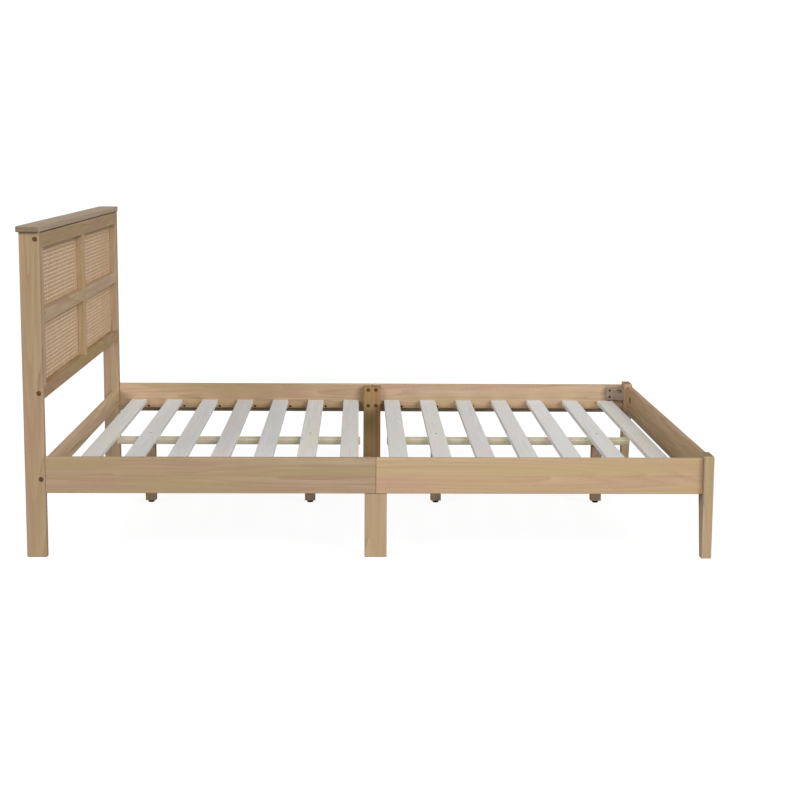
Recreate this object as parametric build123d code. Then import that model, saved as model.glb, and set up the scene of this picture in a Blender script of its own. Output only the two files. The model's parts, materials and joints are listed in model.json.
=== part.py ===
from build123d import *
import os

# Wooden platform bed frame with a cane headboard, for a 1524 x 2032 mattress.
# Millimetres. The origin is on the floor, under the middle of the bed.
# +X runs from the headboard to the foot, +Z is up. Left is -Y and right is +Y,
# as seen from the foot of the bed, facing the headboard.

# ---- driving dimensions --------------------------------------------------

FRAME_WIDTH = 1630.0  # over the outer faces of the side rails
CLEAR_LENGTH = 2040.0  # from the headboard posts to the foot legs

RAIL_BOTTOM = 203.0
RAIL_HEIGHT = 112.0
RAIL_THICKNESS = 22.0
RAIL_END_CHAMFER = 1.8

POST_WIDTH = 62.0
POST_THICKNESS = 25.0
POST_HEIGHT = 1006.0

CAP_THICKNESS = 18.0
CAP_BACK_OVERHANG = 9.0
CAP_FRONT_OVERHANG = 3.0
CAP_END_OVERHANG = 9.0
CAP_CORNER_RADIUS = 10.0
CAP_EDGE_RADIUS = 3.0
CAP_GROOVE_HEIGHT = 3.5  # shadow groove in the panel, under the cap
CAP_GROOVE_DEPTH = 9.0

PANEL_BOTTOM = 494.0
PANEL_THICKNESS = 30.0
PANEL_TOP_RAIL = 50.0
PANEL_RAIL = 40.0
STILE_WIDTH = 37.0
MUNTIN_WIDTH = 42.0
PANEL_EDGE_RADIUS = 1.5
CANE_SETBACK = 22.0
CANE_THICKNESS = 3.0
CANE_EDGE_GAP = 0.5
REBATE_WIDTH = 8.0
BEAD_WIDTH = 14.0
BEAD_EDGE_RADIUS = 1.0

HEAD_RAIL_BOTTOM = 228.0
HEAD_RAIL_HEIGHT = 62.0
FOOT_RAIL_THICKNESS = 20.0
FOOT_RAIL_EDGE_RADIUS = 3.0

MIDDLE_LEG_WIDTH = 69.0
MIDDLE_LEG_THICKNESS = 28.0  # behind the rails
MIDDLE_LEG_SETBACK = 3.0  # below the rails, from their outer face to the leg's
MIDDLE_LEG_DROP = 6.0  # from the top of the rails to the top of the leg

FOOT_LEG_THICKNESS = 31.0
FOOT_LEG_DEPTH = 80.0
FOOT_LEG_TOE = 38.0
FOOT_LEG_PROUD = 13.0
FOOT_LEG_HEIGHT = 325.0

SLAT_COUNT_PER_HALF = 7
SLAT_WIDTH = 62.0
SLAT_THICKNESS = 17.0
SLAT_TOP = 251.0
SLAT_END_GAP = 3.0
HEAD_SLAT_OFFSET = 85.0  # from the middle seam to the first slat centre
HEAD_SLAT_PITCH = 142.5
FOOT_SLAT_OFFSET = 80.0
FOOT_SLAT_PITCH = 144.5

LEDGER_DEPTH = 22.0
LEDGER_HEIGHT = 14.0
LEDGER_HEAD_GAP = 50.0
LEDGER_FOOT_GAP = 72.0
LEDGER_MIDDLE_GAP = 53.0
LEDGER_EDGE_RADIUS = 1.5

BEAM_WIDTH = 60.0
BEAM_THICKNESS = 19.0
BEAM_NEAR_END = 48.0
BEAM_FAR_END = 913.0

CENTRE_LEG_SIZE = 37.0
CENTRE_LEG_BOTTOM = 9.0
LEGGED_SLATS = (1, 5)  # counted from the middle of the bed

GLIDE_RADIUS = 11.0
GLIDE_PAD_HEIGHT = 7.0
GLIDE_TOE_RADIUS = 2.5
GLIDE_PAD_CHAMFER = 1.0
GLIDE_STUD_RADIUS = 4.0
GLIDE_STUD_TOP = 40.0
GLIDE_STUD_CLEARANCE = 0.5
GLIDE_INSERT_RADIUS = 6.0
GLIDE_INSERT_LENGTH = 18.0
GLIDE_THREAD_GAP = 0.06

CORNER_BLOCK_LENGTH = 69.0
CORNER_BLOCK_FLAT = 37.0
CORNER_BLOCK_THIN = 14.0
CORNER_BLOCK_THICK = 34.0
CORNER_BLOCK_BOTTOM = 256.0
CORNER_BLOCK_TOP = 306.0

EDGE_RADIUS = 2.0
LONG_EDGE = 150.0  # on the shaped legs, edges longer than this are rounded over
LEG_TOE_CHAMFER = 1.5
SLAT_EDGE_RADIUS = 2.5
LEG_TOP_RADIUS = 4.0

BOLT_RADIUS = 3.0
BOLT_HOLE_RADIUS = 3.3
BOLT_HEAD_RADIUS = 6.8
BOLT_HEAD_HEIGHT = 2.6
BOLT_HEAD_CHAMFER = 0.8
BOLT_SOCKET_RADIUS = 2.3
BOLT_SOCKET_DEPTH = 2.0
COUNTERBORE_RADIUS = 7.6
COUNTERBORE_DEPTH = 3.0
DRIVER_ROOM = 25.0
HEADBOARD_BOLT_SETBACK = 13.0
HEADBOARD_BOLT_HEIGHTS = (985.0, 514.0, 246.0)
HEADBOARD_BOLT_LENGTH = 65.0
POST_BOLT_HEIGHTS = (222.0, 302.0)
POST_BOLT_LENGTH = 72.0
MIDDLE_BOLT_OFFSET = 15.5
MIDDLE_BOLT_HEIGHTS = (231.0, 295.0)
MIDDLE_BOLT_LENGTH = 38.0
CORNER_BOLT_HEIGHT = 292.0
CORNER_BOLT_LENGTH = 22.0
CORNER_BOLT_SEAT = 10.0  # from the foot leg
CORNER_BOLT_INSET = 23.0  # from the inner face of the side rail
FOOT_BOLT_HEIGHT = 267.0
FOOT_BOLT_INSET = 8.0  # from the inner face of the foot rail
FOOT_BOLT_LENGTH = 82.0

BARREL_NUT_RADIUS = 5.0
BARREL_NUT_LENGTH = 14.0
BARREL_NUT_HOLE_LENGTH = 40.0  # runs out through the face of the wood
BARREL_NUT_FROM_JOINT = 30.0
INSERT_RADIUS = 5.0
INSERT_LENGTH = 14.0
HALF_MOON_RADIUS = 17.0
HALF_MOON_THICKNESS = 8.0
HALF_MOON_POCKET_RADIUS = 17.5
HALF_MOON_POCKET_DEPTH = 13.0
HALF_MOON_FROM_LEG = 74.0
HALF_MOON_FLAT = 9.0

SCREW_RADIUS = 2.2
SCREW_HEAD_RADIUS = 4.5
SCREW_POINT_LENGTH = 5.0
SCREW_TIP_RADIUS = 0.3
SCREW_RECESS_LENGTH = 4.6
SCREW_RECESS_WIDTH = 1.0
SCREW_RECESS_DEPTH = 1.2
LEDGER_SCREW_LENGTH = 34.0
BLOCK_SCREW_LENGTH = 30.0
BLOCK_SCREW_FROM_END = 14.0
BLOCK_SCREW_FROM_EDGE = 12.0
SLAT_SCREW_LENGTH = 76.0
LEDGER_SCREW_GAP = 9.0  # from the edge of the slat beside it

DOWEL_RADIUS = 4.0
DOWEL_LENGTH = 30.0
DOWEL_CHAMFER = 1.0
CAP_DOWEL_SPACING = 400.0
TOP_RAIL_DOWEL_RISE = 12.0
HEAD_RAIL_DOWEL_DROP = 18.0
RAIL_DOWEL_HEIGHT = 262.0
LEG_DOWEL_HEIGHTS = (230.0, 290.0)
FOOT_RAIL_DOWEL_HEIGHTS = (225.0, 300.0)

FIT_GAP = 0.1
HOLE_END_GAP = 1.0
OVERCUT = 1.0  # how far a cutter runs past the face it opens

# ---- planes and lines worked out from them -------------------------------

OVERALL_LENGTH = CAP_BACK_OVERHANG + POST_WIDTH + CLEAR_LENGTH + FOOT_LEG_THICKNESS
BACK_X = -OVERALL_LENGTH / 2
POST_BACK_X = BACK_X + CAP_BACK_OVERHANG
HEAD_X = POST_BACK_X + POST_WIDTH  # front face of the headboard posts
FOOT_X = HEAD_X + CLEAR_LENGTH  # inner face of the foot legs
END_X = FOOT_X + FOOT_LEG_THICKNESS
MIDDLE_X = (HEAD_X + FOOT_X) / 2  # seam between the rail halves

RAIL_TOP = RAIL_BOTTOM + RAIL_HEIGHT
OUTER_Y = FRAME_WIDTH / 2
INNER_Y = OUTER_Y - RAIL_THICKNESS
POST_INNER_Y = OUTER_Y - POST_THICKNESS
STILE_INNER_Y = POST_INNER_Y - STILE_WIDTH
FOOT_LEG_OUTER_Y = OUTER_Y + FOOT_LEG_PROUD
FOOT_LEG_INNER_Y = FOOT_LEG_OUTER_Y - FOOT_LEG_DEPTH
MIDDLE_LEG_INNER_Y = INNER_Y - MIDDLE_LEG_THICKNESS
RAIL_CENTRE_Y = OUTER_Y - RAIL_THICKNESS / 2

PANEL_BACK_X = HEAD_X - PANEL_THICKNESS
CANE_FRONT_X = HEAD_X - CANE_SETBACK
CANE_BACK_X = CANE_FRONT_X - CANE_THICKNESS
PANEL_DOWEL_X = (HEAD_X + CANE_FRONT_X) / 2
HEADBOARD_BOLT_X = HEAD_X - HEADBOARD_BOLT_SETBACK
WINDOW_HEIGHT = (POST_HEIGHT - PANEL_BOTTOM - PANEL_TOP_RAIL - 2 * PANEL_RAIL) / 2
LOWER_WINDOW_Z = PANEL_BOTTOM + PANEL_RAIL
PANEL_MIDDLE_Z = LOWER_WINDOW_Z + WINDOW_HEIGHT
UPPER_WINDOW_Z = PANEL_MIDDLE_Z + PANEL_RAIL
PANEL_TOP_Z = UPPER_WINDOW_Z + WINDOW_HEIGHT

FOOT_RAIL_X = END_X - FOOT_RAIL_THICKNESS
FOOT_BOLT_X = FOOT_RAIL_X + FOOT_BOLT_INSET
HALF_MOON_Y = FOOT_LEG_INNER_Y - HALF_MOON_FROM_LEG
CORNER_BOLT_X = FOOT_X - CORNER_BOLT_SEAT
CORNER_BOLT_Y = INNER_Y - CORNER_BOLT_INSET

SLAT_BOTTOM = SLAT_TOP - SLAT_THICKNESS
BEAM_BOTTOM = SLAT_BOTTOM - BEAM_THICKNESS
HEAD_RAIL_TOP = HEAD_RAIL_BOTTOM + HEAD_RAIL_HEIGHT

CENTRE = (Align.CENTER, Align.CENTER, Align.CENTER)
FROM_BASE = (Align.CENTER, Align.CENTER, Align.MIN)
FROM_TOP = (Align.CENTER, Align.CENTER, Align.MAX)
SIDES = {"left": -1, "right": 1}


# ---- basic shapes --------------------------------------------------------


def block(x0, x1, y0, y1, z0, z1):
    """A plain box between two corners, given in either order."""
    middle = Pos((x0 + x1) / 2, (y0 + y1) / 2, (z0 + z1) / 2)
    return middle * Box(abs(x1 - x0), abs(y1 - y0), abs(z1 - z0), align=CENTRE)


def board(x0, x1, y0, y1, z0, z1, grain=Axis.X, radius=EDGE_RADIUS):
    """A planed board whose long edges, along the grain, are rounded over."""
    plank = block(x0, x1, y0, y1, z0, z1)
    return fillet(plank.edges().filter_by(grain), radius)


def ease_toe(leg):
    """The leg with its bottom edges chamfered, so that it slides without splintering."""
    return chamfer(leg.edges().group_by(Axis.Z)[0], LEG_TOE_CHAMFER)


def shaped_leg(outline, start_x, thickness):
    """A leg cut to a Y and Z outline, with its long edges rounded over."""
    plane = Plane(origin=(start_x, 0, 0), x_dir=(0, 1, 0), z_dir=(1, 0, 0))
    face = plane * make_face(Polyline(*outline, close=True))
    leg = extrude(face, thickness, dir=(1, 0, 0))
    long_edges = leg.edges().filter_by(lambda edge: edge.length > LONG_EDGE)
    return fillet(long_edges, EDGE_RADIUS)


def rod(start, direction, radius, length):
    """A round rod that starts at a point and runs along a direction."""
    return Plane(origin=start, z_dir=direction) * Cylinder(radius, length, align=FROM_BASE)


def boxes_meet(first, second):
    """True where the bounding boxes of two shapes overlap."""
    a = first.bounding_box()
    b = second.bounding_box()
    apart_x = a.max.X < b.min.X or b.max.X < a.min.X
    apart_y = a.max.Y < b.min.Y or b.max.Y < a.min.Y
    apart_z = a.max.Z < b.min.Z or b.max.Z < a.min.Z
    return not (apart_x or apart_y or apart_z)


def cut(shape, cutters):
    """The shape with every hole or recess that reaches it cut out."""
    near = [cutter for cutter in cutters if boxes_meet(shape, cutter)]
    return shape - near if near else shape


# ---- fasteners: each has a solid and the hole that it needs ---------------


def bolt(seat, direction, length):
    """A flat-headed connector bolt; the seat is the underside of its head."""
    place = Plane(origin=seat, z_dir=direction)
    shank = place * Cylinder(BOLT_RADIUS, length, align=FROM_BASE)
    head = Cylinder(BOLT_HEAD_RADIUS, BOLT_HEAD_HEIGHT, align=FROM_TOP)
    head = chamfer(head.edges().group_by(Axis.Z)[0], BOLT_HEAD_CHAMFER)
    hexagon = RegularPolygon(BOLT_SOCKET_RADIUS, 6)
    socket = Pos(0, 0, -BOLT_HEAD_HEIGHT) * extrude(hexagon, BOLT_SOCKET_DEPTH)
    return shank + place * (head - socket)


def bolt_hole(seat, direction, length):
    """A clearance hole for a bolt, with the counterbore for its head."""
    place = Plane(origin=seat, z_dir=direction)
    shank = place * Cylinder(BOLT_HOLE_RADIUS, length + HOLE_END_GAP, align=FROM_BASE)
    counterbore = Cylinder(COUNTERBORE_RADIUS, DRIVER_ROOM, align=FROM_TOP)
    return shank + place * counterbore


def barrel_nut(centre, direction, bolt_direction):
    """A round cross nut with a threaded hole through its side."""
    middle = Vector(*centre)
    start = middle - Vector(*direction) * (BARREL_NUT_LENGTH / 2)
    reach = 2 * BARREL_NUT_RADIUS
    bore_start = middle - Vector(*bolt_direction) * reach
    bore = rod(bore_start, bolt_direction, BOLT_RADIUS + FIT_GAP, 2 * reach)
    return rod(start, direction, BARREL_NUT_RADIUS, BARREL_NUT_LENGTH) - bore


def barrel_nut_hole(centre, direction):
    """The blind hole of a barrel nut, open on the side that direction points to."""
    start = Vector(*centre) - Vector(*direction) * (BARREL_NUT_LENGTH / 2 + HOLE_END_GAP)
    return rod(start, direction, BARREL_NUT_RADIUS + FIT_GAP, BARREL_NUT_HOLE_LENGTH)


def threaded_insert(mouth, direction, radius=INSERT_RADIUS, length=INSERT_LENGTH, bore=BOLT_RADIUS + FIT_GAP):
    """A threaded sleeve that lies flush with the wood at its mouth."""
    return rod(mouth, direction, radius, length) - rod(mouth, direction, bore, length)


def insert_hole(mouth, direction, radius=INSERT_RADIUS, length=INSERT_LENGTH):
    """The hole that a threaded insert is driven into."""
    return rod(mouth, direction, radius + FIT_GAP, length + FIT_GAP)


def wood_screw(top, direction, length):
    """A countersunk screw with a cross recess; the top is the middle of its head."""
    head = Cone(SCREW_HEAD_RADIUS, SCREW_RADIUS, SCREW_HEAD_RADIUS - SCREW_RADIUS, align=FROM_BASE)
    straight = length - SCREW_POINT_LENGTH
    shank = Cylinder(SCREW_RADIUS, straight, align=FROM_BASE)
    point = Cone(SCREW_RADIUS, SCREW_TIP_RADIUS, SCREW_POINT_LENGTH, align=FROM_BASE)
    point = Pos(0, 0, straight) * point
    slot = Box(SCREW_RECESS_LENGTH, SCREW_RECESS_WIDTH, 2 * SCREW_RECESS_DEPTH)
    recess = slot + Rot(0, 0, 90) * slot
    return Plane(origin=top, z_dir=direction) * (head + shank + point - recess)


def screw_hole(top, direction, length):
    """A countersunk pilot hole for a wood screw."""
    radius = SCREW_HEAD_RADIUS + FIT_GAP
    sink = Cone(radius, SCREW_RADIUS + FIT_GAP, SCREW_HEAD_RADIUS - SCREW_RADIUS, align=FROM_BASE)
    pilot = Cylinder(SCREW_RADIUS + FIT_GAP, length + FIT_GAP, align=FROM_BASE)
    return Plane(origin=top, z_dir=direction) * (sink + pilot)


def dowel(centre, direction):
    """A beech dowel with chamfered ends, centred on the joint that it crosses."""
    pin = Cylinder(DOWEL_RADIUS, DOWEL_LENGTH, align=CENTRE)
    pin = chamfer(pin.edges().filter_by(GeomType.CIRCLE), DOWEL_CHAMFER)
    return Plane(origin=centre, z_dir=direction) * pin


def dowel_hole(centre, direction):
    """The pair of blind holes that a dowel bridges."""
    hole = Cylinder(DOWEL_RADIUS + FIT_GAP, DOWEL_LENGTH + HOLE_END_GAP, align=CENTRE)
    return Plane(origin=centre, z_dir=direction) * hole


# ---- where the fasteners go ----------------------------------------------


def slat_centres(numbers=range(SLAT_COUNT_PER_HALF)):
    """Centres along X, from head to foot, of the slats with these numbers in each half."""
    head_half = [MIDDLE_X - HEAD_SLAT_OFFSET - HEAD_SLAT_PITCH * k for k in reversed(numbers)]
    foot_half = [MIDDLE_X + FOOT_SLAT_OFFSET + FOOT_SLAT_PITCH * k for k in numbers]
    return head_half + foot_half


def legged_slat_centres():
    """Centres of the slats that stand over a centre leg, from head to foot."""
    return slat_centres(LEGGED_SLATS)


def ledger_spans():
    """Start and end of the head and foot ledgers along X."""
    head = (HEAD_X + LEDGER_HEAD_GAP, MIDDLE_X - LEDGER_MIDDLE_GAP)
    foot = (MIDDLE_X + LEDGER_MIDDLE_GAP, FOOT_X - LEDGER_FOOT_GAP)
    return {"head": head, "foot": foot}


def ledger_screw_centres():
    """One screw beside each slat, where a ledger reaches that far."""
    beside = [x + SLAT_WIDTH / 2 + LEDGER_SCREW_GAP for x in slat_centres()]
    spans = ledger_spans().values()
    return [x for x in beside if any(start < x < end - LEDGER_SCREW_GAP for start, end in spans)]


def bolt_places():
    """Seat, direction and length of every connector bolt."""
    places = []
    for side in SIDES.values():
        inward = (0, -side, 0)
        for z in HEADBOARD_BOLT_HEIGHTS:
            seat = (HEADBOARD_BOLT_X, side * (OUTER_Y - COUNTERBORE_DEPTH), z)
            places.append((seat, inward, HEADBOARD_BOLT_LENGTH))
        for z in POST_BOLT_HEIGHTS:
            seat = (POST_BACK_X + COUNTERBORE_DEPTH, side * RAIL_CENTRE_Y, z)
            places.append((seat, (1, 0, 0), POST_BOLT_LENGTH))
        for x in (MIDDLE_X - MIDDLE_BOLT_OFFSET, MIDDLE_X + MIDDLE_BOLT_OFFSET):
            for z in MIDDLE_BOLT_HEIGHTS:
                seat = (x, side * (MIDDLE_LEG_INNER_Y + COUNTERBORE_DEPTH), z)
                places.append((seat, (0, side, 0), MIDDLE_BOLT_LENGTH))
        corner_seat = (CORNER_BOLT_X, side * CORNER_BOLT_Y, CORNER_BOLT_HEIGHT)
        places.append((corner_seat, (1, 0, 0), CORNER_BOLT_LENGTH))
        foot_seat = (FOOT_BOLT_X, side * (HALF_MOON_Y + HALF_MOON_FLAT), FOOT_BOLT_HEIGHT)
        places.append((foot_seat, (0, side, 0), FOOT_BOLT_LENGTH))
    return places


def barrel_nut_places():
    """Centre, axis towards the open end, and bolt direction of every barrel nut."""
    places = []
    for side in SIDES.values():
        nut_y = side * (POST_INNER_Y - BARREL_NUT_FROM_JOINT)
        for z in HEADBOARD_BOLT_HEIGHTS:
            places.append(((HEADBOARD_BOLT_X, nut_y, z), (-1, 0, 0), (0, side, 0)))
    return places


def insert_places():
    """Mouth and direction of every threaded insert for a connector bolt."""
    places = []
    for side in SIDES.values():
        for z in POST_BOLT_HEIGHTS:
            places.append(((HEAD_X, side * RAIL_CENTRE_Y, z), (1, 0, 0)))
        for x in (MIDDLE_X - MIDDLE_BOLT_OFFSET, MIDDLE_X + MIDDLE_BOLT_OFFSET):
            for z in MIDDLE_BOLT_HEIGHTS:
                places.append(((x, side * INNER_Y, z), (0, side, 0)))
        places.append(((FOOT_X, side * CORNER_BOLT_Y, CORNER_BOLT_HEIGHT), (1, 0, 0)))
        places.append(((FOOT_BOLT_X, side * FOOT_LEG_INNER_Y, FOOT_BOLT_HEIGHT), (0, side, 0)))
    return places


def screw_places():
    """Head centre, direction and length of every wood screw."""
    places = []
    ledger_z = SLAT_BOTTOM - LEDGER_HEIGHT / 2
    ledger_y = INNER_Y - LEDGER_DEPTH
    for side in SIDES.values():
        for x in ledger_screw_centres():
            places.append(((x, side * ledger_y, ledger_z), (0, side, 0), LEDGER_SCREW_LENGTH))
        block_x = FOOT_X - CORNER_BLOCK_LENGTH + BLOCK_SCREW_FROM_END
        block_y = side * (INNER_Y - CORNER_BLOCK_THIN)
        for z in (CORNER_BLOCK_BOTTOM + BLOCK_SCREW_FROM_EDGE, CORNER_BLOCK_TOP - BLOCK_SCREW_FROM_EDGE):
            places.append(((block_x, block_y, z), (0, side, 0), BLOCK_SCREW_LENGTH))
    for x in legged_slat_centres():
        places.append(((x, 0, SLAT_TOP), (0, 0, -1), SLAT_SCREW_LENGTH))
    return places


def dowel_places():
    """Centre and direction of every dowel."""
    along_x = (1, 0, 0)
    along_y = (0, 1, 0)
    along_z = (0, 0, 1)
    places = [((PANEL_DOWEL_X, k * CAP_DOWEL_SPACING, POST_HEIGHT), along_z) for k in (-1, 0, 1)]
    for z in (LOWER_WINDOW_Z, PANEL_TOP_Z):
        places.append(((PANEL_DOWEL_X, 0, z), along_z))
    for side in SIDES.values():
        post_y = side * (OUTER_Y - POST_THICKNESS / 2)
        stile_y = side * (POST_INNER_Y - STILE_WIDTH / 2)
        rail_y = side * RAIL_CENTRE_Y
        mid_rail_z = PANEL_MIDDLE_Z + PANEL_RAIL / 2
        foot_rail_x = FOOT_RAIL_X + FOOT_RAIL_THICKNESS / 2
        places.append(((POST_BACK_X + POST_WIDTH / 2, post_y, POST_HEIGHT), along_z))
        places.append(((PANEL_DOWEL_X, stile_y, LOWER_WINDOW_Z), along_z))
        places.append(((PANEL_DOWEL_X, stile_y, PANEL_TOP_Z), along_z))
        places.append(((PANEL_DOWEL_X, side * STILE_INNER_Y, mid_rail_z), along_y))
        places.append(((PANEL_DOWEL_X, side * MUNTIN_WIDTH / 2, mid_rail_z), along_y))
        for z in (PANEL_TOP_Z + TOP_RAIL_DOWEL_RISE, HEAD_RAIL_TOP - HEAD_RAIL_DOWEL_DROP):
            places.append(((PANEL_DOWEL_X, side * POST_INNER_Y, z), along_y))
        for x in (HEAD_X, MIDDLE_X):
            places.append(((x, rail_y, RAIL_DOWEL_HEIGHT), along_x))
        for z in LEG_DOWEL_HEIGHTS:
            places.append(((FOOT_X, rail_y, z), along_x))
        for z in FOOT_RAIL_DOWEL_HEIGHTS:
            places.append(((foot_rail_x, side * FOOT_LEG_INNER_Y, z), along_y))
    return places


def fastener_holes():
    """Every hole that the fasteners need, in whichever piece it falls."""
    holes = [bolt_hole(*place) for place in bolt_places()]
    holes += [barrel_nut_hole(centre, axis) for centre, axis, _ in barrel_nut_places()]
    holes += [insert_hole(*place) for place in insert_places()]
    holes += [screw_hole(*place) for place in screw_places()]
    holes += [dowel_hole(*place) for place in dowel_places()]
    return holes


# ---- headboard -----------------------------------------------------------


def window_spans():
    """Y and Z limits of the four cane windows."""
    spans = {}
    for name, side in SIDES.items():
        for level, z in (("lower", LOWER_WINDOW_Z), ("upper", UPPER_WINDOW_Z)):
            near = side * MUNTIN_WIDTH / 2
            far = side * STILE_INNER_Y
            spans[f"{level}_{name}"] = (min(near, far), max(near, far), z, z + WINDOW_HEIGHT)
    return spans


def cane_rebates():
    """The recess behind each window that holds the cane and its beads."""
    grow = REBATE_WIDTH
    rebates = []
    for y0, y1, z0, z1 in window_spans().values():
        back_x = PANEL_BACK_X - OVERCUT
        rebates.append(block(back_x, CANE_FRONT_X, y0 - grow, y1 + grow, z0 - grow, z1 + grow))
    return rebates


def headboard_post(side):
    outer = side * OUTER_Y
    inner = side * POST_INNER_Y
    return ease_toe(board(POST_BACK_X, HEAD_X, outer, inner, 0, POST_HEIGHT, grain=Axis.Z))


def headboard_cap():
    end_y = OUTER_Y + CAP_END_OVERHANG
    front_x = HEAD_X + CAP_FRONT_OVERHANG
    cap = block(BACK_X, front_x, -end_y, end_y, POST_HEIGHT, POST_HEIGHT + CAP_THICKNESS)
    cap = fillet(cap.edges().filter_by(Axis.Z), CAP_CORNER_RADIUS)
    rims = cap.edges().group_by(Axis.Z)
    return fillet(rims[0] + rims[-1], CAP_EDGE_RADIUS)


def panel_member(y0, y1, z0, z1, grain):
    member = board(PANEL_BACK_X, HEAD_X, y0, y1, z0, z1, grain, PANEL_EDGE_RADIUS)
    return cut(member, cane_rebates())


def cap_groove():
    """The groove along the top of the panel that sets it off from the cap."""
    reach = POST_INNER_Y
    back_x = HEAD_X - CAP_GROOVE_DEPTH
    bottom = POST_HEIGHT - CAP_GROOVE_HEIGHT
    return block(back_x, HEAD_X + OVERCUT, -reach, reach, bottom, POST_HEIGHT + OVERCUT)


def headboard_panel():
    """The rails, stiles and muntin of the cane panel."""
    pieces = {}
    reach = POST_INNER_Y
    half = MUNTIN_WIDTH / 2
    top_rail = panel_member(-reach, reach, PANEL_TOP_Z, POST_HEIGHT, Axis.Y)
    pieces["headboard_top_rail"] = top_rail - cap_groove()
    pieces["headboard_bottom_rail"] = panel_member(-reach, reach, PANEL_BOTTOM, LOWER_WINDOW_Z, Axis.Y)
    pieces["headboard_muntin"] = panel_member(-half, half, LOWER_WINDOW_Z, PANEL_TOP_Z, Axis.Z)
    for name, side in SIDES.items():
        stile = panel_member(side * STILE_INNER_Y, side * reach, LOWER_WINDOW_Z, PANEL_TOP_Z, Axis.Z)
        middle = panel_member(side * half, side * STILE_INNER_Y, PANEL_MIDDLE_Z, UPPER_WINDOW_Z, Axis.Y)
        pieces[f"headboard_{name}_stile"] = stile
        pieces[f"headboard_{name}_middle_rail"] = middle
    return pieces


def cane_sheet(y0, y1, z0, z1):
    grow = REBATE_WIDTH - CANE_EDGE_GAP
    return block(CANE_BACK_X, CANE_FRONT_X, y0 - grow, y1 + grow, z0 - grow, z1 + grow)


def cane_beads():
    """Four wooden strips behind each cane sheet that wedge it in its rebate."""
    strips = []
    for y0, y1, z0, z1 in window_spans().values():
        low_y, high_y = y0 - REBATE_WIDTH, y1 + REBATE_WIDTH
        low_z, high_z = z0 - REBATE_WIDTH, z1 + REBATE_WIDTH
        inner_low, inner_high = low_z + BEAD_WIDTH, high_z - BEAD_WIDTH
        strips.append(bead(low_y, high_y, low_z, inner_low, Axis.Y))
        strips.append(bead(low_y, high_y, inner_high, high_z, Axis.Y))
        strips.append(bead(low_y, low_y + BEAD_WIDTH, inner_low, inner_high, Axis.Z))
        strips.append(bead(high_y - BEAD_WIDTH, high_y, inner_low, inner_high, Axis.Z))
    return strips


def bead(y0, y1, z0, z1, grain):
    return board(PANEL_BACK_X, CANE_BACK_X, y0, y1, z0, z1, grain, BEAD_EDGE_RADIUS)


# ---- bed base ------------------------------------------------------------


def head_rail():
    back_x = HEAD_X - RAIL_THICKNESS
    return board(back_x, HEAD_X, -POST_INNER_Y, POST_INNER_Y, HEAD_RAIL_BOTTOM, HEAD_RAIL_TOP, Axis.Y)


def side_rail(side, x0, x1):
    """Half of a side rail; its ends are chamfered, so the butt joint shows as a groove."""
    rail = board(x0, x1, side * INNER_Y, side * OUTER_Y, RAIL_BOTTOM, RAIL_TOP)
    ends = rail.faces().filter_by(Axis.X)
    return chamfer(ends.edges(), RAIL_END_CHAMFER)


def half_moon_pocket(side):
    start = (FOOT_RAIL_X - OVERCUT, side * HALF_MOON_Y, FOOT_BOLT_HEIGHT)
    return rod(start, (1, 0, 0), HALF_MOON_POCKET_RADIUS, HALF_MOON_POCKET_DEPTH + OVERCUT)


def foot_rail():
    reach = FOOT_LEG_INNER_Y
    rail = board(FOOT_RAIL_X, END_X, -reach, reach, RAIL_BOTTOM, RAIL_TOP, Axis.Y, FOOT_RAIL_EDGE_RADIUS)
    return rail - [half_moon_pocket(side) for side in SIDES.values()]


def middle_leg(side):
    """A leg bolted behind the rails, with a shoulder that they rest on."""
    outer = side * (OUTER_Y - MIDDLE_LEG_SETBACK)
    step = side * INNER_Y
    inner = side * MIDDLE_LEG_INNER_Y
    top = RAIL_TOP - MIDDLE_LEG_DROP
    lower = [(inner, 0), (outer, 0), (outer, RAIL_BOTTOM)]
    upper = [(step, RAIL_BOTTOM), (step, top), (inner, top)]
    leg = shaped_leg(lower + upper, MIDDLE_X - MIDDLE_LEG_WIDTH / 2, MIDDLE_LEG_WIDTH)
    return ease_toe(leg)


def foot_leg(side):
    """A leg that is straight outside and tapers inside, below the rails."""
    outer = side * FOOT_LEG_OUTER_Y
    inner = side * FOOT_LEG_INNER_Y
    toe = side * (FOOT_LEG_OUTER_Y - FOOT_LEG_TOE)
    outside = [(outer, 0), (outer, FOOT_LEG_HEIGHT)]
    inside = [(inner, FOOT_LEG_HEIGHT), (inner, RAIL_BOTTOM), (toe, 0)]
    leg = shaped_leg(outside + inside, FOOT_X, FOOT_LEG_THICKNESS)
    return fillet(leg.edges().group_by(Axis.Z)[-1], LEG_TOP_RADIUS)


def corner_block(side):
    """A block on the rail's inner face whose thick end takes the leg bolt."""
    start_x = FOOT_X - CORNER_BLOCK_LENGTH
    bend_x = start_x + CORNER_BLOCK_FLAT
    rail = side * INNER_Y
    thin = side * (INNER_Y - CORNER_BLOCK_THIN)
    thick = side * (INNER_Y - CORNER_BLOCK_THICK)
    corners = [(start_x, rail), (start_x, thin), (bend_x, thin), (FOOT_X, thick), (FOOT_X, rail)]
    outline = Polyline(*corners, close=True)
    footprint = Pos(0, 0, CORNER_BLOCK_BOTTOM) * make_face(outline)
    return extrude(footprint, CORNER_BLOCK_TOP - CORNER_BLOCK_BOTTOM, dir=(0, 0, 1))


def ledger(side, x0, x1):
    y0 = side * (INNER_Y - LEDGER_DEPTH)
    bottom = SLAT_BOTTOM - LEDGER_HEIGHT
    return board(x0, x1, y0, side * INNER_Y, bottom, SLAT_BOTTOM, radius=LEDGER_EDGE_RADIUS)


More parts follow.
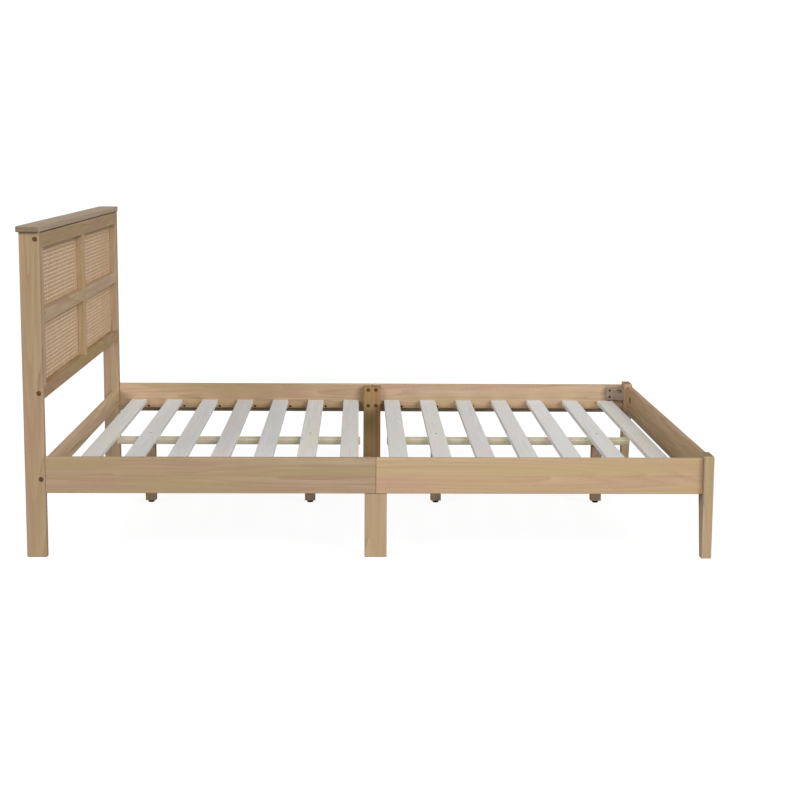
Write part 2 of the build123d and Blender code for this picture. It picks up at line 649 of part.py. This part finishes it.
def slat(centre_x):
    reach = INNER_Y - SLAT_END_GAP
    x0 = centre_x - SLAT_WIDTH / 2
    x1 = centre_x + SLAT_WIDTH / 2
    return board(x0, x1, -reach, reach, SLAT_BOTTOM, SLAT_TOP, Axis.Y, radius=SLAT_EDGE_RADIUS)


def centre_beam(x0, x1):
    half = BEAM_WIDTH / 2
    return board(x0, x1, -half, half, BEAM_BOTTOM, SLAT_BOTTOM)


def centre_leg(x):
    half = CENTRE_LEG_SIZE / 2
    leg = board(x - half, x + half, -half, half, CENTRE_LEG_BOTTOM, BEAM_BOTTOM, Axis.Z)
    room_radius = GLIDE_STUD_RADIUS + GLIDE_STUD_CLEARANCE
    stud_room = rod((x, 0, CENTRE_LEG_BOTTOM), (0, 0, 1), room_radius, GLIDE_STUD_TOP)
    return leg - [stud_room, glide_insert_hole(x)]


def glide_insert(x):
    bore = GLIDE_STUD_RADIUS + GLIDE_THREAD_GAP
    mouth = (x, 0, CENTRE_LEG_BOTTOM)
    return threaded_insert(mouth, (0, 0, 1), GLIDE_INSERT_RADIUS, GLIDE_INSERT_LENGTH, bore)


def glide_insert_hole(x):
    mouth = (x, 0, CENTRE_LEG_BOTTOM)
    return insert_hole(mouth, (0, 0, 1), GLIDE_INSERT_RADIUS, GLIDE_INSERT_LENGTH)


def glide(x):
    """A levelling foot: a domed pad on a threaded stud."""
    pad = Pos(x, 0, 0) * Cylinder(GLIDE_RADIUS, GLIDE_PAD_HEIGHT, align=FROM_BASE)
    pad = fillet(pad.edges().group_by(Axis.Z)[0], GLIDE_TOE_RADIUS)
    pad = chamfer(pad.edges().group_by(Axis.Z)[-1], GLIDE_PAD_CHAMFER)
    stud_start = (x, 0, GLIDE_PAD_HEIGHT)
    return pad + rod(stud_start, (0, 0, 1), GLIDE_STUD_RADIUS, GLIDE_STUD_TOP - GLIDE_PAD_HEIGHT)


def half_moon_nut(side):
    """A segment of a disc that bears on the curved wall of its pocket."""
    inset = (HALF_MOON_POCKET_DEPTH - HALF_MOON_THICKNESS) / 2
    start = (FOOT_RAIL_X + inset, side * HALF_MOON_Y, FOOT_BOLT_HEIGHT)
    disc = rod(start, (1, 0, 0), HALF_MOON_RADIUS, HALF_MOON_THICKNESS)
    reach = 2 * HALF_MOON_RADIUS
    flat_y = side * (HALF_MOON_Y + HALF_MOON_FLAT)
    far_y = side * (HALF_MOON_Y - reach)
    low_z = FOOT_BOLT_HEIGHT - reach
    high_z = FOOT_BOLT_HEIGHT + reach
    waste = block(FOOT_RAIL_X, END_X, flat_y, far_y, low_z, high_z)
    bore_start = (FOOT_BOLT_X, side * HALF_MOON_Y, FOOT_BOLT_HEIGHT)
    bore = rod(bore_start, (0, side, 0), BOLT_RADIUS + FIT_GAP, reach)
    return disc - waste - bore


# ---- all the pieces by name ----------------------------------------------


def wooden_pieces():
    """Every timber piece, drilled for its fasteners."""
    pieces = {}
    for name, side in SIDES.items():
        pieces[f"{name}_headboard_post"] = headboard_post(side)
        pieces[f"{name}_head_side_rail"] = side_rail(side, HEAD_X, MIDDLE_X)
        pieces[f"{name}_foot_side_rail"] = side_rail(side, MIDDLE_X, FOOT_X)
        pieces[f"{name}_middle_leg"] = middle_leg(side)
        pieces[f"{name}_foot_leg"] = foot_leg(side)
        pieces[f"{name}_corner_block"] = corner_block(side)
        for half, (x0, x1) in ledger_spans().items():
            pieces[f"{name}_{half}_ledger"] = ledger(side, x0, x1)
    pieces["headboard_cap"] = headboard_cap()
    pieces.update(headboard_panel())
    pieces["head_rail"] = head_rail()
    pieces["foot_rail"] = foot_rail()
    pieces["head_centre_beam"] = centre_beam(MIDDLE_X - BEAM_FAR_END, MIDDLE_X - BEAM_NEAR_END)
    pieces["foot_centre_beam"] = centre_beam(MIDDLE_X + BEAM_NEAR_END, MIDDLE_X + BEAM_FAR_END)
    for number, x in enumerate(slat_centres(), start=1):
        pieces[f"slat_{number:02d}"] = slat(x)
    for number, x in enumerate(legged_slat_centres(), start=1):
        pieces[f"centre_leg_{number}"] = centre_leg(x)
    holes = fastener_holes()
    return {name: cut(piece, holes) for name, piece in pieces.items()}


def cane_pieces():
    sheets = {f"cane_{name}": cane_sheet(*span) for name, span in window_spans().items()}
    sheets["cane_beads"] = Compound(cane_beads())
    return sheets


def hardware():
    """Glides, and one group of solids for each kind of fastener."""
    pieces = {}
    for number, x in enumerate(legged_slat_centres(), start=1):
        pieces[f"levelling_glide_{number}"] = glide(x)
    nuts = [barrel_nut(*place) for place in barrel_nut_places()]
    nuts += [half_moon_nut(side) for side in SIDES.values()]
    inserts = [threaded_insert(*place) for place in insert_places()]
    inserts += [glide_insert(x) for x in legged_slat_centres()]
    pieces["connector_bolts"] = Compound([bolt(*place) for place in bolt_places()])
    pieces["cross_nuts"] = Compound(nuts)
    pieces["threaded_inserts"] = Compound(inserts)
    pieces["wood_screws"] = Compound([wood_screw(*place) for place in screw_places()])
    pieces["dowels"] = Compound([dowel(*place) for place in dowel_places()])
    return pieces


os.makedirs("parts", exist_ok=True)
for node, shape in {**wooden_pieces(), **cane_pieces(), **hardware()}.items():
    export_step(shape, f"parts/{node}.step")
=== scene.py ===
import json
import math
import random

import bpy
import numpy as np
from mathutils import Matrix, Vector


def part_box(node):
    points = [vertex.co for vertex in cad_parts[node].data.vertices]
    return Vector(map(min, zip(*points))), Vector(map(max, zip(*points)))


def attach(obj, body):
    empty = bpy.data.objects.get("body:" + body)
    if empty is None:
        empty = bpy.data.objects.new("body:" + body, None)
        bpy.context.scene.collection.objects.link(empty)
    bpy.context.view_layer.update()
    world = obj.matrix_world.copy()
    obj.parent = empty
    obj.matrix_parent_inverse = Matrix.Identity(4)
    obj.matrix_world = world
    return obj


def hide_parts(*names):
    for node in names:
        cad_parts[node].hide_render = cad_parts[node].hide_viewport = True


# The looks of a wooden bed frame: satin wood with its grain, pale planed slats, and headboard
# windows of hexagonal cane webbing, woven strand by strand. Metres, in the frame of the CAD part.

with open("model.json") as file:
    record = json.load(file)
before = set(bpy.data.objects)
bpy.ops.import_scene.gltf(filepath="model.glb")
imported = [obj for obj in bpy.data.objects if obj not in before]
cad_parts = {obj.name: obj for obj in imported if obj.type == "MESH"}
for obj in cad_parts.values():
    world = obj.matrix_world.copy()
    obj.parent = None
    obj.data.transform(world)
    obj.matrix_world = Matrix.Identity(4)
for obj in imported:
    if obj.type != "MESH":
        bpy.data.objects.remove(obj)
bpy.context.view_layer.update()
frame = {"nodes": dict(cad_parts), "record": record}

# ---- camera and lights ----------------------------------------------------

CAMERA_PLACE = Vector((-0.034, -5.8612, 1.2733))
CAMERA_PITCH = 0.1525  # radians below the horizon
CAMERA_YAW = 0.0252  # radians to the right of +Y
CAMERA_ROLL = 0.0069
SENSOR_WIDTH = 36.0
CAMERA_LENS = 74.64
SKY_LIGHT = 0.35
HEAD_SIDE_LIGHT = 1.45  # comes from the headboard's side
FOOT_SIDE_LIGHT = 1.95
SUN_WIDTH = 35.0  # degrees
BACKDROP_GLOW = 1.05
FLOOR_SIZE = 60.0
FLOOR_BOUNCE = 0.28
FLOOR_GLOW = 0.88
FLOOR_VEIL = 0.22

# ---- cane webbing ----------------------------------------------------------

CANE_PITCH = 0.0127  # half-inch mesh
PAIR_SPACING = 0.0037
STRAND_WIDTH = 0.0021
STRAND_THICKNESS = 0.0009
STRAND_WANDER = 0.00012
STRAND_FLAT = 0.84  # share of a strand's width that is flat underneath

# ---- colours, linear ---------------------------------------------------------


def srgb(red, green, blue):
    """A colour given as 0 to 255 on screen, as the linear colour that shaders take."""
    channels = [value / 255.0 for value in (red, green, blue)]
    linear = [c / 12.92 if c <= 0.04045 else ((c + 0.055) / 1.055) ** 2.4 for c in channels]
    return (*linear, 1.0)


# ---- short ways to build node trees ---------------------------------------------


def add_node(tree, kind, inputs=None, **settings):
    """Adds a shader node, sets its properties, and links or fills its inputs."""
    made = tree.nodes.new("ShaderNode" + kind)
    for key, value in settings.items():
        setattr(made, key, value)
    for socket, value in (inputs or {}).items():
        if isinstance(value, bpy.types.NodeSocket):
            tree.links.new(value, made.inputs[socket])
        else:
            made.inputs[socket].default_value = value
    return made


def maths(tree, operation, first, second=0.0):
    return add_node(tree, "Math", {0: first, 1: second}, operation=operation).outputs[0]


def scaled(tree, vector, factors):
    return add_node(tree, "VectorMath", {0: vector, 1: factors}, operation="MULTIPLY").outputs[0]


def shifted(tree, vector, offset):
    return add_node(tree, "VectorMath", {0: vector, 1: offset}, operation="ADD").outputs[0]


def noise(tree, vector, scale=1.0, detail=2.0, roughness=0.5):
    inputs = {"Vector": vector, "Scale": scale, "Detail": detail, "Roughness": roughness}
    return add_node(tree, "TexNoise", inputs).outputs["Fac"]


def blend_colours(tree, share, first, second, mode="MIX"):
    mix = add_node(tree, "Mix", data_type="RGBA", blend_type=mode)
    for socket, value in ((mix.inputs[0], share), (mix.inputs[6], first), (mix.inputs[7], second)):
        if isinstance(value, bpy.types.NodeSocket):
            tree.links.new(value, socket)
        else:
            socket.default_value = value
    return mix.outputs[2]


def rescaled(tree, value, low, high, to_low=0.0, to_high=1.0):
    inputs = {"Value": value, "From Min": low, "From Max": high, "To Min": to_low, "To Max": to_high}
    return add_node(tree, "MapRange", inputs, clamp=True).outputs[0]


def new_material(name):
    material = bpy.data.materials.new(name)
    material.use_nodes = True
    tree = material.node_tree
    return material, tree, tree.nodes["Principled BSDF"]


def own_value(tree, name):
    """A number that each object holds as a custom property."""
    return add_node(tree, "Attribute", attribute_type="OBJECT", attribute_name=name).outputs["Fac"]


# ---- wood ----------------------------------------------------------------------

GRAIN_ORDER = {"X": (0, 1, 2), "Y": (1, 2, 0), "Z": (2, 0, 1)}
SEED_STEP = (1.37, 0.31, 0.53)
RINGS_IN_VIEW = 17.0  # growth lines over the whole range of the slow noise
GLUE_LINE_HALF = 0.0005
NO_GLUE_LINE = -1.0
PORE_SHADE = (0.5, 0.42, 0.36, 1.0)
END_GRAIN_SHADE = (0.5, 0.47, 0.45, 1.0)
FIBRE_RELIEF = 0.0006
CANE_RELIEF = 0.0003
PLASTIC_RELIEF = 0.0002
WEAR_SCALE = 900.0


def above_glue_line(tree):
    """1 on the upper of the two strips that a side rail is glued up from."""
    place = add_node(tree, "TexCoord").outputs["Object"]
    height = add_node(tree, "SeparateXYZ", {0: place}).outputs["Z"]
    return maths(tree, "GREATER_THAN", height, own_value(tree, "glue_line"))


def on_glue_line(tree):
    """1 on the hairline between the two strips."""
    place = add_node(tree, "TexCoord").outputs["Object"]
    height = add_node(tree, "SeparateXYZ", {0: place}).outputs["Z"]
    away = maths(tree, "ABSOLUTE", maths(tree, "SUBTRACT", height, own_value(tree, "glue_line")))
    return rescaled(tree, away, GLUE_LINE_HALF, 1.6 * GLUE_LINE_HALF, 1.0, 0.0)


def grain_coordinates(tree, grain):
    """Object coordinates turned so that X runs along the grain, and moved for each strip of wood."""
    place = add_node(tree, "TexCoord").outputs["Object"]
    split = add_node(tree, "SeparateXYZ", {0: place})
    along, first, second = (split.outputs[i] for i in GRAIN_ORDER[grain])
    turned = add_node(tree, "CombineXYZ", {0: along, 1: first, 2: second}).outputs[0]
    upper = maths(tree, "MULTIPLY", above_glue_line(tree), 0.5)
    strip = maths(tree, "ADD", own_value(tree, "seed"), upper)
    steps = add_node(tree, "CombineXYZ", {0: strip, 1: strip, 2: strip}).outputs[0]
    return shifted(tree, turned, scaled(tree, steps, SEED_STEP))


def growth_lines(tree, place):
    """The growth lines of a plain-sawn board: contours of a slow noise, pale to dark across each."""
    slow = noise(tree, scaled(tree, place, (0.5, 9.0, 9.0)), detail=1.5, roughness=0.4)
    wobble = noise(tree, scaled(tree, place, (4.0, 60.0, 60.0)), detail=2.0)
    rings = maths(tree, "MULTIPLY", slow, RINGS_IN_VIEW)
    height = maths(tree, "ADD", rings, maths(tree, "MULTIPLY", wobble, 0.5))
    return maths(tree, "POWER", maths(tree, "FRACT", height), 2.0)


def fibres(tree, place):
    """Fine streaks along the grain, from 0 to 1."""
    fine = noise(tree, scaled(tree, place, (7.0, 420.0, 420.0)), detail=4.0, roughness=0.6)
    broad = noise(tree, scaled(tree, place, (3.0, 90.0, 90.0)), detail=3.0)
    return maths(tree, "ADD", maths(tree, "MULTIPLY", fine, 0.5), maths(tree, "MULTIPLY", broad, 0.5))


def pores(tree, place):
    """Short dark vessel lines, 1 where there is one."""
    cells = noise(tree, scaled(tree, place, (55.0, 900.0, 900.0)), detail=1.0)
    return rescaled(tree, cells, 0.66, 0.74)


def end_grain(tree, grain):
    """1 on faces cut across the grain."""
    normal = add_node(tree, "TexCoord").outputs["Normal"]
    split = add_node(tree, "SeparateXYZ", {0: normal})
    return rescaled(tree, maths(tree, "ABSOLUTE", split.outputs[GRAIN_ORDER[grain][0]]), 0.6, 0.85)


def wood(name, grain, pale, deep, pink, olive, line_share=0.46, roughness=0.5):
    """Planed wood under a thin satin lacquer, with its grain along one axis."""
    material, tree, shader = new_material(name)
    place = grain_coordinates(tree, grain)
    streaks = fibres(tree, place)
    vessel = pores(tree, place)

    share = maths(tree, "MULTIPLY", growth_lines(tree, place), line_share)
    share = maths(tree, "ADD", share, rescaled(tree, streaks, 0.35, 0.7, 0.0, 0.75))
    colour = blend_colours(tree, share, pale, deep)
    for tint, scales in ((pink, (2.4, 14.0, 14.0)), (olive, (1.7, 23.0, 23.0))):
        patch = noise(tree, scaled(tree, place, scales), detail=3.0)
        colour = blend_colours(tree, rescaled(tree, patch, 0.45, 0.68, 0.0, 0.8), colour, tint)
    colour = blend_colours(tree, maths(tree, "MULTIPLY", vessel, 0.4), colour, PORE_SHADE, "MULTIPLY")
    colour = blend_colours(tree, maths(tree, "MULTIPLY", on_glue_line(tree), 0.6), colour, deep)
    cut = end_grain(tree, grain)
    colour = blend_colours(tree, maths(tree, "MULTIPLY", cut, 0.8), colour, END_GRAIN_SHADE, "MULTIPLY")
    value = maths(tree, "ADD", own_value(tree, "tone"), 1.0)
    saturation = maths(tree, "SUBTRACT", 1.0, own_value(tree, "fade"))
    shifts = {"Value": value, "Saturation": saturation, "Color": colour}
    colour = add_node(tree, "HueSaturation", shifts).outputs[0]
    tree.links.new(colour, shader.inputs["Base Color"])

    rough = rescaled(tree, streaks, 0.3, 0.7, roughness - 0.05, roughness + 0.08)
    tree.links.new(maths(tree, "ADD", rough, maths(tree, "MULTIPLY", cut, 0.2)), shader.inputs["Roughness"])
    relief = maths(tree, "SUBTRACT", streaks, maths(tree, "MULTIPLY", vessel, 0.6))
    bump = add_node(tree, "Bump", {"Height": relief, "Strength": 0.25, "Distance": FIBRE_RELIEF})
    tree.links.new(bump.outputs["Normal"], shader.inputs["Normal"])
    shader.inputs["Specular IOR Level"].default_value = 0.35
    return material


# ---- other materials ---------------------------------------------------------------


def cane_material():
    """Strands of split rattan with a hard, slightly glossy skin."""
    material, tree, shader = new_material("natural_cane")
    place = add_node(tree, "TexCoord").outputs["Object"]
    strand = add_node(tree, "Attribute", attribute_name="strand").outputs["Fac"]
    mottling = noise(tree, place, scale=160.0, detail=3.0)
    colour = blend_colours(tree, strand, srgb(222, 194, 160), srgb(200, 168, 132))
    colour = blend_colours(tree, rescaled(tree, mottling, 0.35, 0.75, 0.0, 0.55), colour, srgb(176, 142, 106))
    tree.links.new(colour, shader.inputs["Base Color"])
    tree.links.new(rescaled(tree, mottling, 0.3, 0.7, 0.38, 0.55), shader.inputs["Roughness"])
    bump = add_node(tree, "Bump", {"Height": mottling, "Strength": 0.2, "Distance": CANE_RELIEF})
    tree.links.new(bump.outputs["Normal"], shader.inputs["Normal"])
    return material


def metal(name, bright, dark, roughness):
    """Plated steel with faint wear in the plating."""
    material, tree, shader = new_material(name)
    place = add_node(tree, "TexCoord").outputs["Object"]
    wear = noise(tree, place, scale=WEAR_SCALE, detail=4.0)
    colour = blend_colours(tree, rescaled(tree, wear, 0.4, 0.65), dark, bright)
    tree.links.new(colour, shader.inputs["Base Color"])
    rough = rescaled(tree, wear, 0.3, 0.7, roughness + 0.1, roughness - 0.05)
    tree.links.new(rough, shader.inputs["Roughness"])
    shader.inputs["Metallic"].default_value = 1.0
    return material


def plastic():
    """Moulded black plastic with a fine texture."""
    material, tree, shader = new_material("moulded_plastic")
    place = add_node(tree, "TexCoord").outputs["Object"]
    grit = noise(tree, place, scale=1500.0, detail=2.0)
    colour = blend_colours(tree, grit, srgb(18, 18, 19), srgb(34, 34, 35))
    tree.links.new(colour, shader.inputs["Base Color"])
    tree.links.new(rescaled(tree, grit, 0.3, 0.7, 0.42, 0.6), shader.inputs["Roughness"])
    bump = add_node(tree, "Bump", {"Height": grit, "Strength": 0.15, "Distance": PLASTIC_RELIEF})
    tree.links.new(bump.outputs["Normal"], shader.inputs["Normal"])
    return material


# ---- which material each CAD node wears ----------------------------------------------


def grain_of(node):
    """The axis that a board is longest along."""
    low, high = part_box(node)
    size = high - low
    return "XYZ"[max(range(3), key=lambda axis: size[axis])]


# How much lighter than the rest some pieces are, and how much greyer. Negative is darker, or richer. A few
# entries are painted shade, marked where they stand.
TONES = {
    "left_head_side_rail": -0.16,
    "left_foot_side_rail": 0.14,
    "right_head_side_rail": 0.06,
    "right_foot_side_rail": 0.1,
    "headboard_post": -0.2,
    "headboard_cap": -0.1,
    "headboard_top_rail": -0.18,
    "headboard_bottom_rail": -0.22,
    "foot_rail": -0.12,
    "foot_leg": -0.04,
    "middle_leg": -0.03,
    # painted shade: the corner block is darkened for the shadow its slanted face lies in
    "corner_block": -0.42,
    # painted shade: the centre legs are darkened for the shade under the slats
    "centre_leg": -0.25,
    # painted shade: the far middle leg is darkened for the shade it stands in under the slats
    "right_middle_leg": -0.19,
}
FADES = {
    "headboard_cap": 0.2,
    # painted shade: these rails face away from the lights and are made richer for the warm bounce light in
    # their shade
    "headboard_top_rail": -0.14,
    "headboard_bottom_rail": -0.14,
    "foot_rail": -0.14,
    # painted shade: the far middle leg is made richer for the warm colour of its shade
    "right_middle_leg": -0.3,
    "right_foot_side_rail": 0.08,
    "corner_block": 0.2,
}
TONE_SPREAD = 0.04
FADE_SPREAD = 0.08
SLAT_FADE_SPREAD = 0.9


def share_for(node, shares):
    """The sum of the shares whose names are part of a node's name."""
    return sum(value for part, value in shares.items() if part in node)


def glue_line_of(node):
    """Side rails are glued up from two strips; the line between them is at mid height."""
    low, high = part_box(node)
    return (low.z + high.z) / 2 if node.endswith("side_rail") else NO_GLUE_LINE


def dress(node, material, seed, tone, fade):
    """Gives a CAD node its material, and the numbers that vary it."""
    piece = frame["nodes"][node]
    piece.data.materials.clear()
    piece.data.materials.append(material)
    piece["seed"] = float(seed)
    piece["tone"] = tone + share_for(node, TONES)
    piece["fade"] = fade + share_for(node, FADES)
    piece["glue_line"] = glue_line_of(node)


def dress_cad_nodes():
    """Wood, metal and plastic for every CAD node, by the record's slots apart from a few nodes."""
    tints = (srgb(206, 178, 144), srgb(166, 134, 100), srgb(186, 148, 122), srgb(184, 160, 116))
    frame_wood = {axis: wood(f"frame_wood_{axis}", axis, *tints) for axis in "XYZ"}
    pale_tints = (srgb(233, 232, 229), srgb(208, 206, 199), srgb(229, 215, 214), srgb(224, 220, 202))
    slat_wood = wood("slat_wood", "Y", *pale_tints, line_share=0.24, roughness=0.62)
    beam_tints = (srgb(228, 219, 194), srgb(204, 192, 162), srgb(216, 199, 176), srgb(212, 204, 168))
    beam_wood = wood("beam_wood", "X", *beam_tints, roughness=0.6)
    bronze = metal("bronzed_steel", srgb(178, 142, 104), srgb(112, 84, 60), 0.42)
    dark_bronze = metal("blackened_steel", srgb(86, 70, 56), srgb(54, 44, 36), 0.5)
    # zinc-plated steel, darkened as painted shade of the half-moon pocket that the nut sits in
    zinc = metal("zinc_steel", srgb(84, 80, 76), srgb(50, 47, 44), 0.42)
    black = plastic()
    chance = random.Random(7)
    slots = {row["node"]: row["material_slot"] for row in frame["record"]["subparts"]}
    others = {"slat_wood": slat_wood, "bronzed_steel": bronze, "zinc_steel": zinc, "black_plastic": black}
    own = {"head_centre_beam": beam_wood, "foot_centre_beam": beam_wood, "wood_screws": dark_bronze}
    for number, node in enumerate(sorted(frame["nodes"])):
        material = own.get(node, others.get(slots[node], frame_wood[grain_of(node)]))
        spread = SLAT_FADE_SPREAD if material is slat_wood else FADE_SPREAD
        tone = chance.uniform(-TONE_SPREAD, TONE_SPREAD)
        dress(node, material, number, tone, chance.uniform(-0.3, 1.0) * spread)


# ---- cane webbing -------------------------------------------------------------------------


def strand_profile():
    """The cross-section of a strand: flat underneath, crowned on top. Width, then height."""
    half, thick = STRAND_WIDTH / 2, STRAND_THICKNESS
    flat, shoulder = -0.5 * thick, 0.1 * thick
    underside = [(-STRAND_FLAT * half, flat), (STRAND_FLAT * half, flat)]
    return [*underside, (half, shoulder), (0.0, 0.5 * thick), (-half, shoulder)]


def strand_stops(start, end, steps):
    """Distances along a strand between its ends, where steps gives each repeat's stops and heights."""
    period = steps[-1][0] - steps[0][0]
    stops = []
    first = math.floor((start - steps[0][0]) / period) - 1
    last = math.ceil((end - steps[0][0]) / period) + 1
    for repeat in range(first, last):
        for place, height in steps[:-1]:
            at = place + repeat * period
            if start < at < end:
                stops.append((at, height))
    return [(start, stops[0][1]), *stops, (end, stops[-1][1])] if stops else []


class Webbing:
    """A mesh of flat strands, each swept along a straight line with a changing height."""

    def __init__(self, seed):
        self.points = []
        self.faces = []
        self.shades = []
        self.chance = random.Random(seed)

    def add_strand(self, origin, direction, stops):
        """origin and direction are in the sheet's plane, and stops are distances and heights."""
        side = Vector((-direction.y, direction.x))
        wander = side * self.chance.uniform(-STRAND_WANDER, STRAND_WANDER)
        shade = self.chance.random()
        profile = strand_profile()
        base = len(self.points)
        for at, height in stops:
            middle = origin + direction * at + wander
            for across, up in profile:
                spot = middle + side * across
                self.points.append((height + up, spot.x, spot.y))
                self.shades.append(shade)
        size = len(profile)
        for ring in range(len(stops) - 1):
            low = base + ring * size
            for k in range(size):
                after = (k + 1) % size
                self.faces.append((low + k, low + after, low + size + after, low + size + k))
        self.faces.append(tuple(base + k for k in reversed(range(size))))
        self.faces.append(tuple(base + (len(stops) - 1) * size + k for k in range(size)))

    def to_mesh(self, name):
        mesh = bpy.data.meshes.new(name)
        mesh.from_pydata(self.points, [], self.faces)
        shades = mesh.attributes.new("strand", "FLOAT", "POINT")
        shades.data.foreach_set("value", np.array(self.shades, np.float32))
        mesh.shade_smooth()
        return mesh


PARALLEL = 1e-9


def clip_line(origin, direction, half_width, half_height):
    """Where a line through origin enters and leaves a rectangle about the middle, or None."""
    start, end = -math.inf, math.inf
    for value, step, limit in ((origin.x, direction.x, half_width), (origin.y, direction.y, half_height)):
        if abs(step) < PARALLEL:
            if abs(value) > limit:
                return None
            continue
        first, second = sorted(((-limit - value) / step, (limit - value) / step))
        start, end = max(start, first), min(end, second)
    return (start, end) if end - start > STRAND_WIDTH else None


def weave(half_width, half_height, seed):
    """Hexagonal cane webbing: upright and level pairs woven plain, and two sets of diagonals."""
    webbing = Webbing(seed)
    pitch, gap, lift = CANE_PITCH, PAIR_SPACING / 2, STRAND_THICKNESS / 2
    columns = math.ceil(half_width / pitch) + 1
    rows = math.ceil(half_height / pitch) + 1

    def lay(origin, direction, steps):
        ends = clip_line(origin, direction, half_width, half_height)
        stops = strand_stops(*ends, steps) if ends else []
        if stops:
            webbing.add_strand(origin, direction, stops)

    for side in (-1, 1):
        upright = [(-gap, side * lift), (gap, -side * lift), (pitch / 2, 0.0), (pitch - gap, side * lift)]
        level = [(-gap, -side * lift), (gap, side * lift), (pitch / 2, 0.0), (pitch - gap, -side * lift)]
        for column in range(-columns, columns + 1):
            lay(Vector((column * pitch + side * gap, 0.0)), Vector((0.0, 1.0)), upright)
        for row in range(-rows, rows + 1):
            lay(Vector((0.0, row * pitch + side * gap)), Vector((1.0, 0.0)), level)

    half_step = pitch / math.sqrt(2)
    reach = gap * math.sqrt(2)
    for side in (-1, 1):
        high = -side * 2 * lift
        crossings = [(-reach, high), (reach, high), (half_step - reach, -high), (half_step + reach, -high)]
        steps = [*crossings, (2 * half_step - reach, high)]
        for count in range(-columns - rows, columns + rows + 1):
            origin = Vector((count * pitch, side * pitch / 2))
            lay(origin, Vector((1.0, side)).normalized(), steps)
    return webbing


def make_cane(node, material, seed):
    """Woven cane in place of one plain CAD sheet."""
    low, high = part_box(node)
    size = high - low
    mesh = weave(size.y / 2, size.z / 2, seed).to_mesh("woven_" + node)
    piece = bpy.data.objects.new("woven_" + node, mesh)
    bpy.context.scene.collection.objects.link(piece)
    piece.location = (low + high) / 2
    mesh.materials.append(material)
    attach(piece, "frame")
    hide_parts(node)


def make_all_cane():
    material = cane_material()
    nodes = [node for node in sorted(frame["nodes"]) if node.startswith("cane_") and node != "cane_beads"]
    for seed, node in enumerate(nodes):
        make_cane(node, material, seed)


# ---- studio ------------------------------------------------------------------------------------


def add_camera():
    """The camera stands off the bed's near side and looks slightly down."""
    data = bpy.data.cameras.new("camera")
    data.sensor_width = SENSOR_WIDTH
    data.lens = CAMERA_LENS
    camera = bpy.data.objects.new("camera", data)
    bpy.context.scene.collection.objects.link(camera)
    upright = Matrix.Rotation(math.pi / 2, 4, "X")
    turn = Matrix.Rotation(-CAMERA_YAW, 4, "Z")
    tip = Matrix.Rotation(-CAMERA_PITCH, 4, "X")
    roll = Matrix.Rotation(-CAMERA_ROLL, 4, "Y")
    camera.matrix_world = Matrix.Translation(CAMERA_PLACE) @ turn @ tip @ roll @ upright
    bpy.context.scene.camera = camera


def add_sun(name, direction, softness, strength):
    """A distant soft light, whose softness is its width in degrees."""
    data = bpy.data.lights.new(name, "SUN")
    data.angle = math.radians(softness)
    data.energy = strength
    lamp = bpy.data.objects.new(name, data)
    bpy.context.scene.collection.objects.link(lamp)
    lamp.rotation_euler = Vector(direction).to_track_quat("-Z", "Y").to_euler()


def floor_material():
    """Camera rays see it almost white with faint shadows; other rays see a darker floor, which
    throws less light back up."""
    material, tree, shader = new_material("studio_floor")
    shader.inputs["Base Color"].default_value = (FLOOR_BOUNCE, FLOOR_BOUNCE, FLOOR_BOUNCE, 1.0)
    shader.inputs["Roughness"].default_value = 0.9
    glow = add_node(tree, "Emission", {"Color": (1.0, 1.0, 1.0, 1.0), "Strength": FLOOR_GLOW}).outputs[0]
    veil = add_node(tree, "BsdfDiffuse", {"Color": (FLOOR_VEIL, FLOOR_VEIL, FLOOR_VEIL, 1.0)}).outputs[0]
    pale = add_node(tree, "AddShader", {0: glow, 1: veil}).outputs[0]
    seen = add_node(tree, "LightPath").outputs["Is Camera Ray"]
    either = add_node(tree, "MixShader", {0: seen, 1: shader.outputs[0], 2: pale}).outputs[0]
    tree.links.new(either, tree.nodes["Material Output"].inputs["Surface"])
    return material


def add_studio():
    """A pale floor, a white surround and two wide soft lights from the front."""
    bpy.ops.mesh.primitive_plane_add(size=FLOOR_SIZE)
    floor = bpy.context.object
    floor.name = "studio_floor"
    floor.data.materials.append(floor_material())

    world = bpy.data.worlds.new("studio")
    world.use_nodes = True
    bpy.context.scene.world = world
    tree = world.node_tree
    background = tree.nodes["Background"]
    background.inputs["Color"].default_value = (1.0, 1.0, 1.0, 1.0)
    seen = tree.nodes.new("ShaderNodeLightPath").outputs["Is Camera Ray"]
    strength = rescaled(tree, seen, 0.0, 1.0, SKY_LIGHT, BACKDROP_GLOW)
    tree.links.new(strength, background.inputs["Strength"])

    add_sun("front_left", (1.0, 0.95, -0.75), SUN_WIDTH, HEAD_SIDE_LIGHT)
    add_sun("front_right", (-1.0, 0.95, -0.75), SUN_WIDTH, FOOT_SIDE_LIGHT)


bpy.context.scene.view_settings.view_transform = "Standard"
add_camera()
add_studio()
dress_cad_nodes()
make_all_cane()
